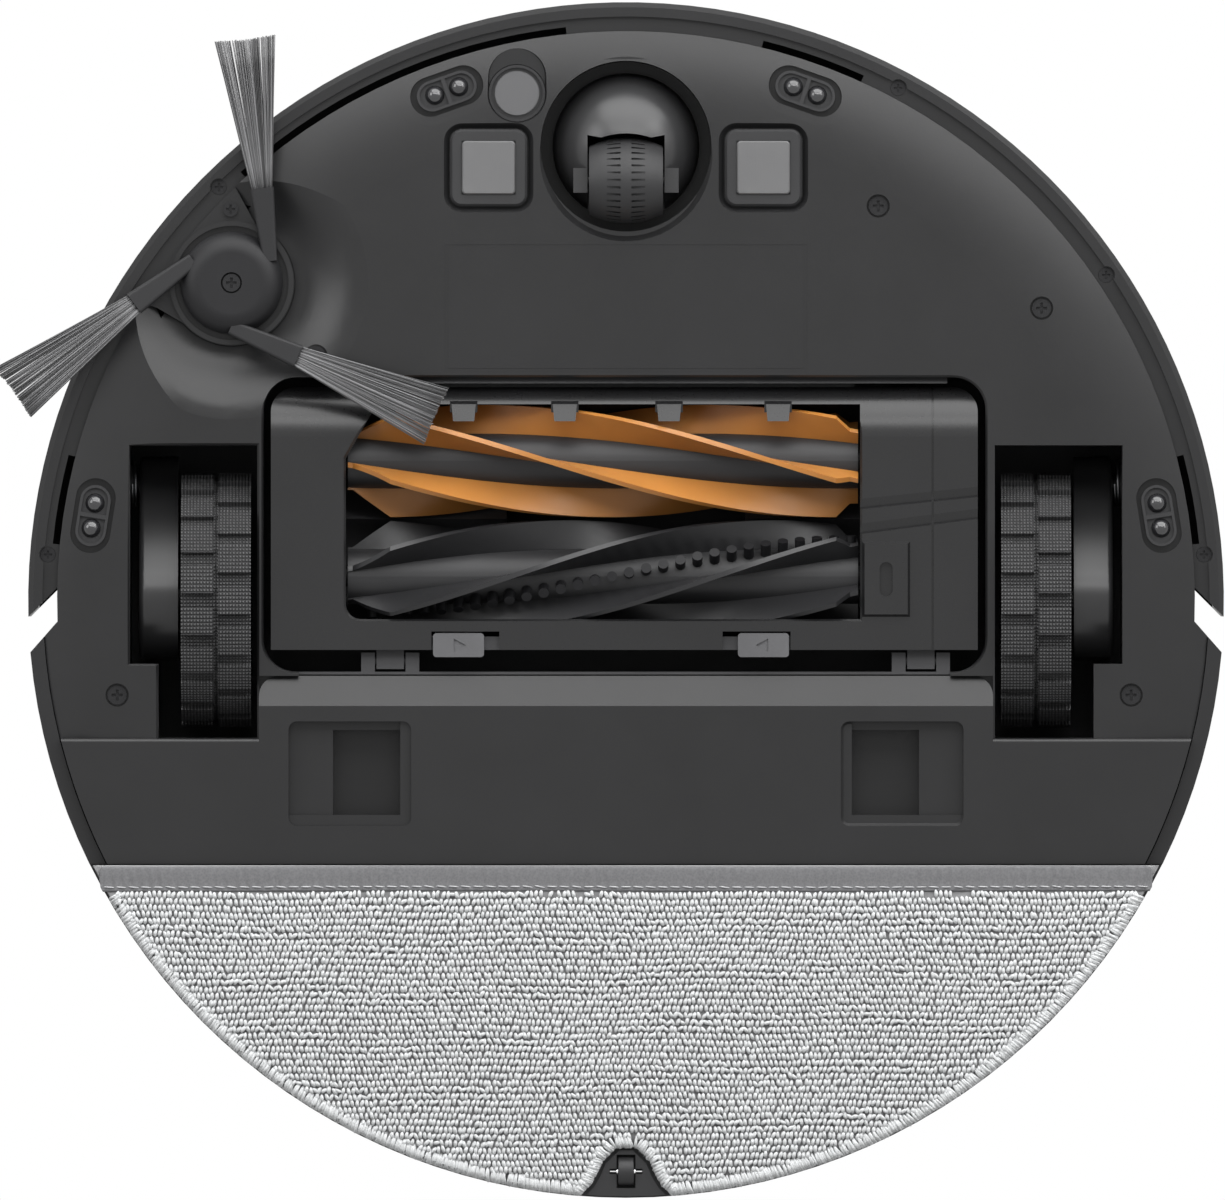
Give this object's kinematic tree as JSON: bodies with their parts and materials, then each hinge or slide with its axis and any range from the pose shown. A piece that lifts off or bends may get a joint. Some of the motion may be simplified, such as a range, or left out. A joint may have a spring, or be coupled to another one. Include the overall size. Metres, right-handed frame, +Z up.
{
  "type": "robot vacuum",
  "caption": "Round robot vacuum with mop: drive wheels, caster, side brush, twin rollers in a floating head, bumper, mop cloth and LiDAR turret.",
  "frame": {"origin": "on the floor, midway between the points where the two drive wheels touch it", "axes": "+Z up, +Y towards the robot's front (bumper), +X towards its side brush"},
  "size_m": [0.3589, 0.35, 0.0965],
  "materials": {
    "body_plastic": "matt, fine grain",
    "cover_plastic": "satin",
    "inner_plastic": "matt",
    "latch_plastic": "satin",
    "top_plastic": "satin",
    "window_plastic": "gloss",
    "clear_plastic": "gloss",
    "water_plastic": "smoked",
    "steel": "brushed",
    "contact_metal": "satin plated",
    "black_screw": "blackened",
    "chrome": "polished",
    "tyre_rubber": "matt",
    "sleeve_rubber": "matt",
    "amber_rubber": "translucent satin",
    "black_rubber": "satin",
    "cloth": "terry",
    "board": "satin",
    "filter_paper": "pleated",
    "lens": "gloss"
  },
  "bodies": {
    "chassis": {"base_plate": "body_plastic", "rear_block": "body_plastic", "body_shell": "body_plastic", "top_deck": "top_plastic", "wheel_housings": "inner_plastic", "brush_bay": "inner_plastic", "pivot_pins": "steel", "suspension_springs": "steel", "battery_pack": "inner_plastic", "main_board": "board", "dust_bin": "clear_plastic", "bin_filter": "filter_paper", "fan_housing": "inner_plastic", "water_tank": "water_plastic", "contact_frames": "inner_plastic", "contact_plates": "contact_metal", "carpet_sensor": "inner_plastic", "cliff_sensor_bodies": "inner_plastic", "cliff_sensor_lenses": "lens", "chassis_screws": "black_screw", "side_brush_gearbox": "body_plastic", "lidar_base": "top_plastic"},
    "fan": {"fan_impeller": "inner_plastic"},
    "bumper": {"bumper_shell": "body_plastic", "bumper_window": "window_plastic", "bumper_flange": "body_plastic", "bumper_screws": "black_screw"},
    "caster": {"caster_housing": "cover_plastic", "caster_axle": "steel"},
    "caster_wheel": {"caster_wheel": "black_rubber"},
    "drive_arm_right": {"drive_arm_right": "cover_plastic"},
    "drive_arm_left": {"drive_arm_left": "cover_plastic"},
    "drive_wheel_right": {"wheel_hub_right": "inner_plastic", "tyre_right": "tyre_rubber"},
    "drive_wheel_left": {"wheel_hub_left": "inner_plastic", "tyre_left": "tyre_rubber"},
    "brush_head": {"head_housing": "inner_plastic", "brush_cover": "cover_plastic", "brush_motor": "inner_plastic"},
    "latch_right": {"cover_latch_right": "latch_plastic"},
    "latch_left": {"cover_latch_left": "latch_plastic"},
    "front_roller": {"front_roller_core": "inner_plastic", "front_roller_blades": "amber_rubber"},
    "rear_roller": {"rear_roller_core": "inner_plastic", "rear_roller_blades": "black_rubber", "rear_roller_bumps": "black_rubber"},
    "side_brush": {"side_brush_hub": "cover_plastic", "side_brush_sleeves": "sleeve_rubber", "side_brush_screw": "black_screw", "side_brush_bristles": "sleeve_rubber"},
    "mop": {"mop_plate": "inner_plastic", "mop_cloth": "cloth", "mop_roller_pin": "chrome"},
    "mop_roller": {"mop_roller": "cover_plastic"},
    "lid": {"bin_lid": "top_plastic"},
    "power_button": {"power_button": "top_plastic"},
    "dock_button": {"dock_button": "top_plastic"},
    "lidar_rotor": {"lidar_rotor": "inner_plastic"},
    "lidar_cap": {"lidar_cap": "top_plastic"}
  },
  "joints": [
    {"name": "fan_spin", "type": "hinge", "parent": "chassis", "child": "fan", "pos_m": [0, -0.058, 0.04], "axis": [0, 0, 1], "continuous": true},
    {"name": "bumper_press", "type": "slide", "parent": "chassis", "child": "bumper", "axis": [0, -1, 0], "range_m": [0, 0.004], "stiffness_N_per_m": 600},
    {"name": "caster_swivel", "type": "hinge", "parent": "chassis", "child": "caster", "pos_m": [0, 0.1328, 0.04], "axis": [0, 0, 1], "continuous": true},
    {"name": "caster_roll", "type": "hinge", "parent": "caster", "child": "caster_wheel", "pos_m": [0, 0.1228, 0.0125], "axis": [1, 0, 0], "continuous": true},
    {"name": "arm_droop_right", "type": "hinge", "parent": "chassis", "child": "drive_arm_right", "pos_m": [0.137, 0.034, 0.046], "axis": [1, 0, 0], "range_deg": [0, 14], "stiffness_Nm_per_rad": 0.7, "springref_deg": 20.05},
    {"name": "arm_droop_left", "type": "hinge", "parent": "chassis", "child": "drive_arm_left", "pos_m": [-0.137, 0.034, 0.046], "axis": [1, 0, 0], "range_deg": [0, 14], "stiffness_Nm_per_rad": 0.7, "springref_deg": 20.05},
    {"name": "wheel_roll_right", "type": "hinge", "parent": "drive_arm_right", "child": "drive_wheel_right", "pos_m": [0.12, 0, 0.0372], "axis": [1, 0, 0], "continuous": true},
    {"name": "wheel_roll_left", "type": "hinge", "parent": "drive_arm_left", "child": "drive_wheel_left", "pos_m": [-0.12, 0, 0.0372], "axis": [1, 0, 0], "continuous": true},
    {"name": "head_float", "type": "hinge", "parent": "chassis", "child": "brush_head", "pos_m": [0, -0.0178, 0.015], "axis": [1, 0, 0], "range_deg": [0, 4]},
    {"name": "latch_right_slide", "type": "slide", "parent": "brush_head", "child": "latch_right", "axis": [-1, 0, 0], "range_m": [0, 0.004], "stiffness_N_per_m": 150},
    {"name": "latch_left_slide", "type": "slide", "parent": "brush_head", "child": "latch_left", "axis": [1, 0, 0], "range_m": [0, 0.004], "stiffness_N_per_m": 150},
    {"name": "front_roller_spin", "type": "hinge", "parent": "brush_head", "child": "front_roller", "pos_m": [0, 0.0407, 0.0205], "axis": [1, 0, 0], "continuous": true},
    {"name": "rear_roller_spin", "type": "hinge", "parent": "brush_head", "child": "rear_roller", "pos_m": [0, 0.0069, 0.0205], "axis": [1, 0, 0], "continuous": true},
    {"name": "side_brush_spin", "type": "hinge", "parent": "chassis", "child": "side_brush", "pos_m": [0.11542, 0.0928, 0.008], "axis": [0, 0, 1], "continuous": true, "deforming": ["side_brush_bristles"]},
    {"name": "mop_lift", "type": "slide", "parent": "chassis", "child": "mop", "axis": [0, 0, 1], "range_m": [0, 0.005]},
    {"name": "mop_roller_roll", "type": "hinge", "parent": "mop", "child": "mop_roller", "pos_m": [0, -0.1671, 0.0049], "axis": [1, 0, 0], "continuous": true},
    {"name": "lid_open", "type": "hinge", "parent": "chassis", "child": "lid", "pos_m": [0, 0.0024, 0.0784], "axis": [1, 0, 0], "range_deg": [0, 75]},
    {"name": "power_button_press", "type": "slide", "parent": "chassis", "child": "power_button", "axis": [0, 0, -1], "range_m": [0, 0.001], "stiffness_N_per_m": 400},
    {"name": "dock_button_press", "type": "slide", "parent": "chassis", "child": "dock_button", "axis": [0, 0, -1], "range_m": [0, 0.001], "stiffness_N_per_m": 400},
    {"name": "lidar_spin", "type": "hinge", "parent": "chassis", "child": "lidar_rotor", "pos_m": [0, -0.052, 0.084], "axis": [0, 0, 1], "continuous": true},
    {"name": "lidar_cap_press", "type": "slide", "parent": "chassis", "child": "lidar_cap", "axis": [0, 0, -1], "range_m": [0, 0.0015], "stiffness_N_per_m": 1500}
  ],
  "couplings": [
    {"joint": "front_roller_spin", "follows": "rear_roller_spin", "ratio": -1}
  ]
}
